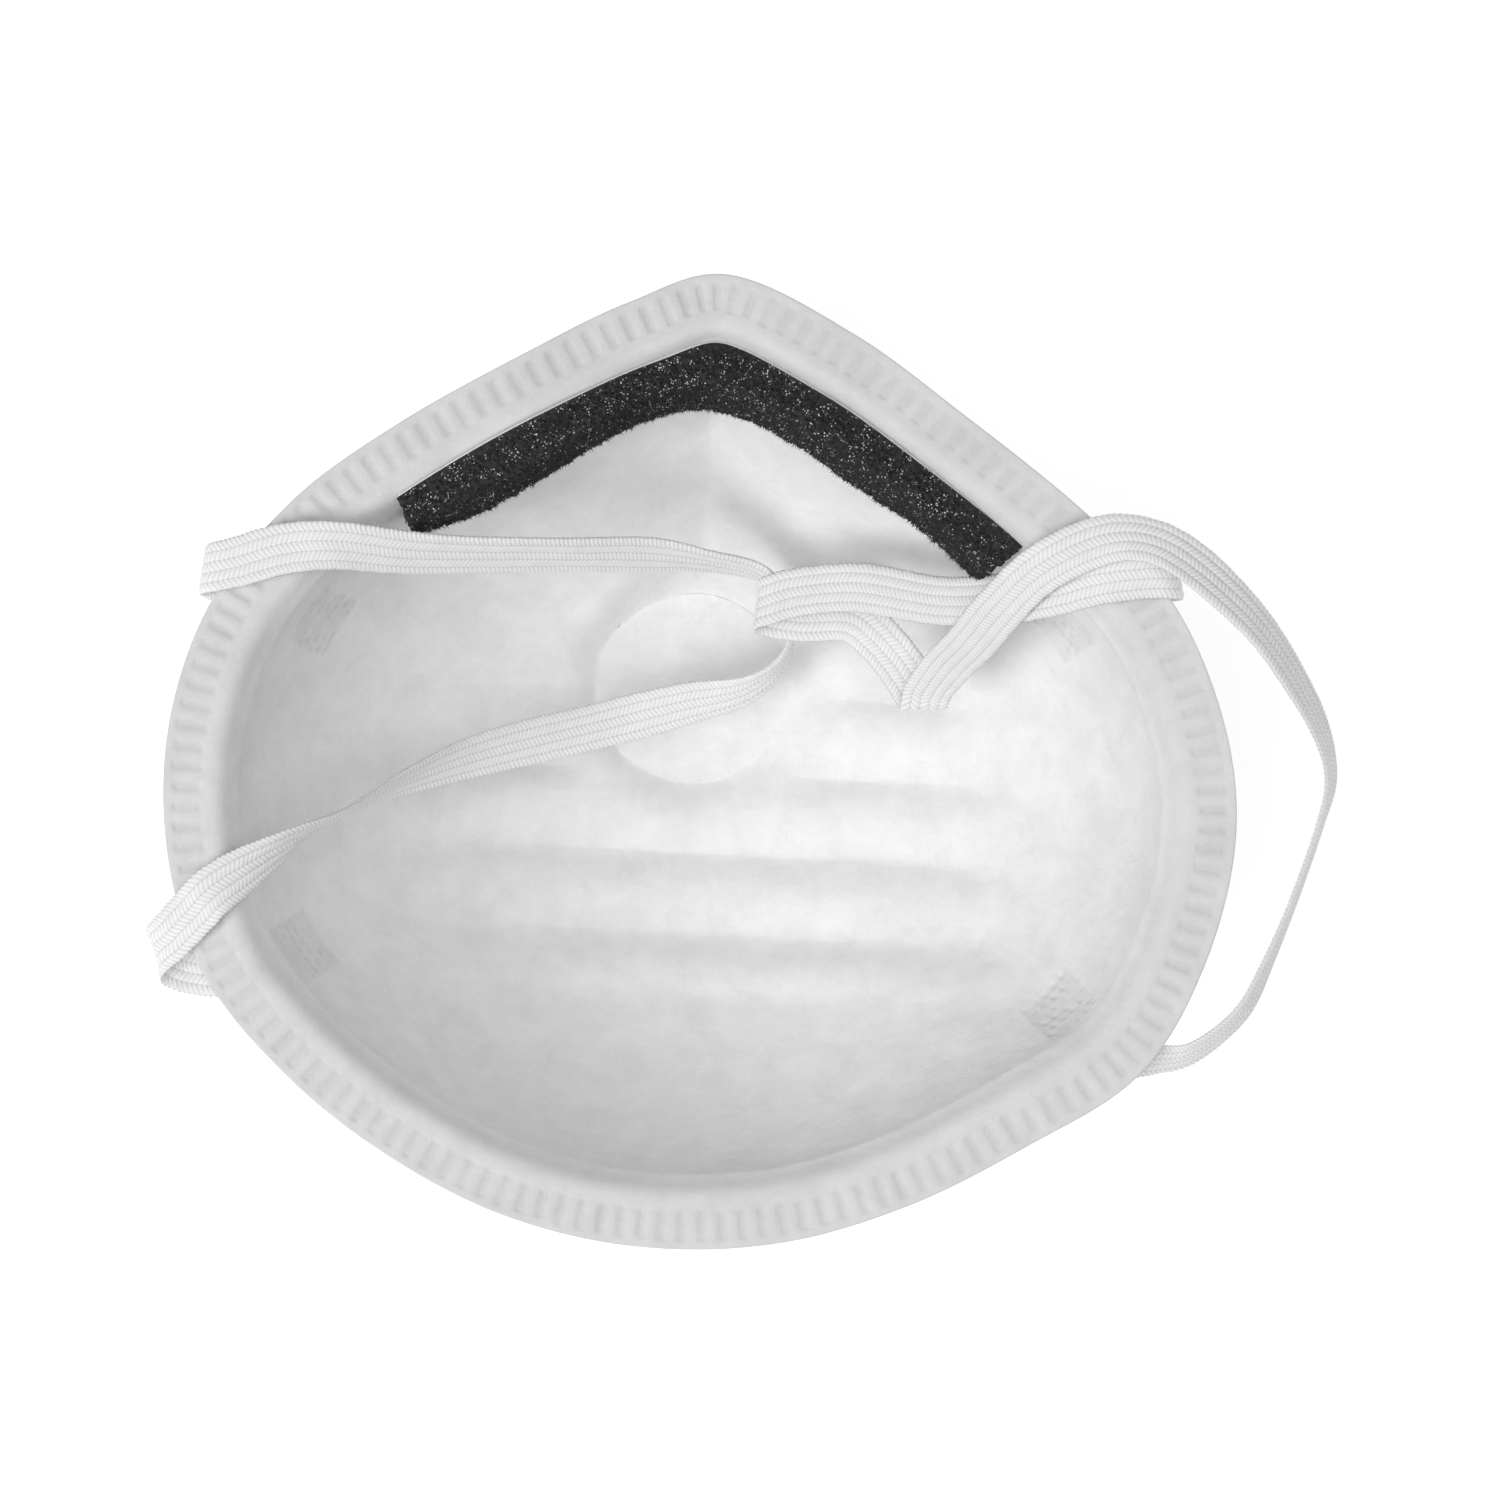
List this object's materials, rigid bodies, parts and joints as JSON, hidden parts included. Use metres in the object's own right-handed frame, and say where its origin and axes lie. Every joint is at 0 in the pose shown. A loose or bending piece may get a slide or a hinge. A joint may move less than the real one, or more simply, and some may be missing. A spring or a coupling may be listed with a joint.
{
  "type": "disposable dust mask",
  "caption": "Moulded cup dust mask with a welded flange, nose clip, foam nose strip and flat elastic ear loops, lying dome down and open upwards.",
  "frame": {"origin": "centre of the cup's outline in plan (flange edges), at the bottom face of the flat boss", "axes": "+X to the right seen from the face side with the nose up, +Y towards the nose, +Z out of the opening towards the wearer"},
  "size_m": [0.1469, 0.1207, 0.0566],
  "materials": {
    "cover_web": "matte",
    "shell_felt": "matte",
    "filter_web": "matte",
    "liner_web": "matte",
    "clip_metal": "satin",
    "clip_glue": "satin",
    "nose_foam": "matte",
    "foam_tape": "matte",
    "elastic": "matte"
  },
  "bodies": {
    "mask": {"outer_cover": "cover_web", "support_shell": "shell_felt", "filter_media": "filter_web", "inner_liner": "liner_web", "nose_clip": "clip_metal", "nose_clip_adhesive": "clip_glue", "nose_foam": "nose_foam", "foam_tape": "foam_tape", "left_loop_upper_tab": "elastic", "left_loop_lower_tab": "elastic", "right_loop_upper_tab": "elastic", "right_loop_lower_tab": "elastic"},
    "left_loop": {"left_ear_loop": "elastic"},
    "right_loop": {"right_ear_loop": "elastic"}
  },
  "joints": [
    {"name": "left_loop_swing", "type": "hinge", "parent": "mask", "child": "left_loop", "pos_m": [-0.0598, 0.0239, 0.0501], "axis": [-0.114, -0.9934, 0.0088], "range_deg": [0, 150], "deforming": ["left_ear_loop"]},
    {"name": "right_loop_swing", "type": "hinge", "parent": "mask", "child": "right_loop", "pos_m": [0.0574, 0.0231, 0.0497], "axis": [-0.0605, 0.9936, 0.0958], "range_deg": [0, 90], "deforming": ["right_ear_loop"]}
  ]
}
